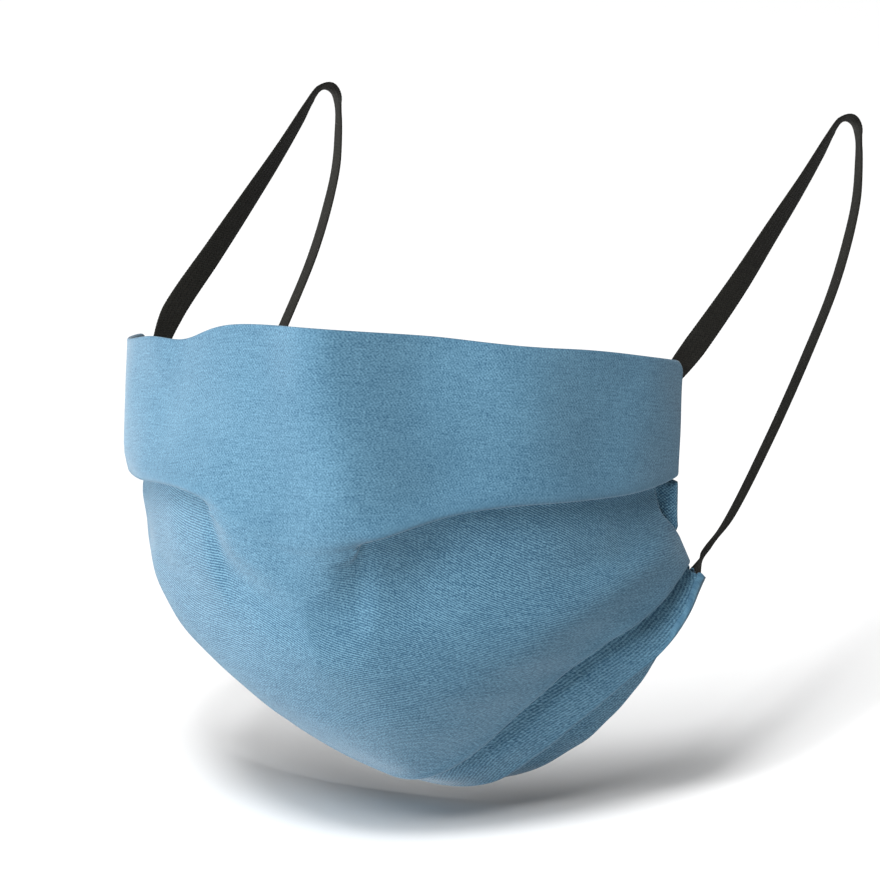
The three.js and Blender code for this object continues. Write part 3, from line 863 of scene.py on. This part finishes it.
# %% [markdown]
# ## Floor, light and camera
# The mask is looked at from its left, a little from above, through a very long lens that
# flattens it. Two low lights on the wearer's right model the cloth, so the nose ridge parts
# the lit side from the shaded side. Two broad ones high above and in front make the floor
# white and lay a soft oval shadow under the chin.

# %% A plain pale floor
FLOOR_Z = -0.1345
bpy.ops.mesh.primitive_plane_add(size=12, location=(0, 0, FLOOR_Z))
floor = bpy.context.object
floor.name = "floor"
paper, tree, surface = fresh_material("pale_paper")
grain = add(tree, "ShaderNodeTexNoise", {"Scale": 300.0, "Detail": 3.0})
raise_by(tree, surface, grain.outputs["Fac"], 0.03, 0.0003)
set_finish(surface, Base_Color=(0.86, 0.86, 0.86, 1), Roughness=0.9, Specular_IOR_Level=0.1)
floor.data.materials.append(paper)

# %% The camera
AZIMUTH, ELEVATION, ROLL = (math.radians(angle) for angle in (28, 18, 5.7))
LENS, SENSOR, VIEW_WIDTH = 1200.0, 36.0, 0.220
AIM_RIGHT, AIM_DOWN, AIM_IN = 0.03125, 0.02825, 0.030  # metres from the origin
right = Vector((math.cos(AZIMUTH), math.sin(AZIMUTH), 0))
level_out = math.cos(ELEVATION)
towards = Vector((
    math.sin(AZIMUTH) * level_out, -math.cos(AZIMUTH) * level_out, math.sin(ELEVATION),
))
up, lean, upright = towards.cross(right), math.sin(ROLL), math.cos(ROLL)
right, up = right * upright - up * lean, right * lean + up * upright
middle = right * AIM_RIGHT - up * AIM_DOWN - towards * AIM_IN
camera_data = bpy.data.cameras.new("camera")
camera_data.lens, camera_data.sensor_width = LENS, SENSOR
camera_data.clip_start, camera_data.clip_end = 0.1, 60
camera = bpy.data.objects.new("camera", camera_data)
bpy.context.scene.collection.objects.link(camera)
distance = VIEW_WIDTH * LENS / SENSOR
turned = Matrix((right, up, towards)).transposed()
camera.matrix_world = Matrix.Translation(middle + towards * distance) @ turned.to_4x4()
bpy.context.scene.camera = camera
print("camera is", round(distance, 2), "m away")

# %% Soft studio light
def soft_light(name, place, aim, size, watts):
    data = bpy.data.lights.new(name, "AREA")
    data.shape, data.size, data.energy = "DISK", size, watts
    lamp = bpy.data.objects.new(name, data)
    lamp.location = place
    lamp.rotation_mode = "QUATERNION"
    lamp.rotation_quaternion = (Vector(aim) - Vector(place)).to_track_quat("-Z", "Y")
    bpy.context.scene.collection.objects.link(lamp)
    return lamp


soft_light("key", (-1.95, -0.95, 0.04), (0, 0, -0.06), 0.4, 50)
soft_light("front", (-0.9, -2.0, 0.02), (0, 0, -0.06), 0.4, 17)
soft_light("overhead", (0.2, -2.3, 5.8), (0, 0.04, -0.1), 2.4, 300)
soft_light("high_front", (0.3, -4.0, 5.2), (0, 0.04, -0.1), 3.6, 320)
world = bpy.data.worlds.new("studio")
world.use_nodes = True
set_finish(world.node_tree.nodes["Background"], Color=(1, 1, 1, 1), Strength=0.05)
bpy.context.scene.world = world
bpy.context.scene.view_settings.view_transform = "Standard"
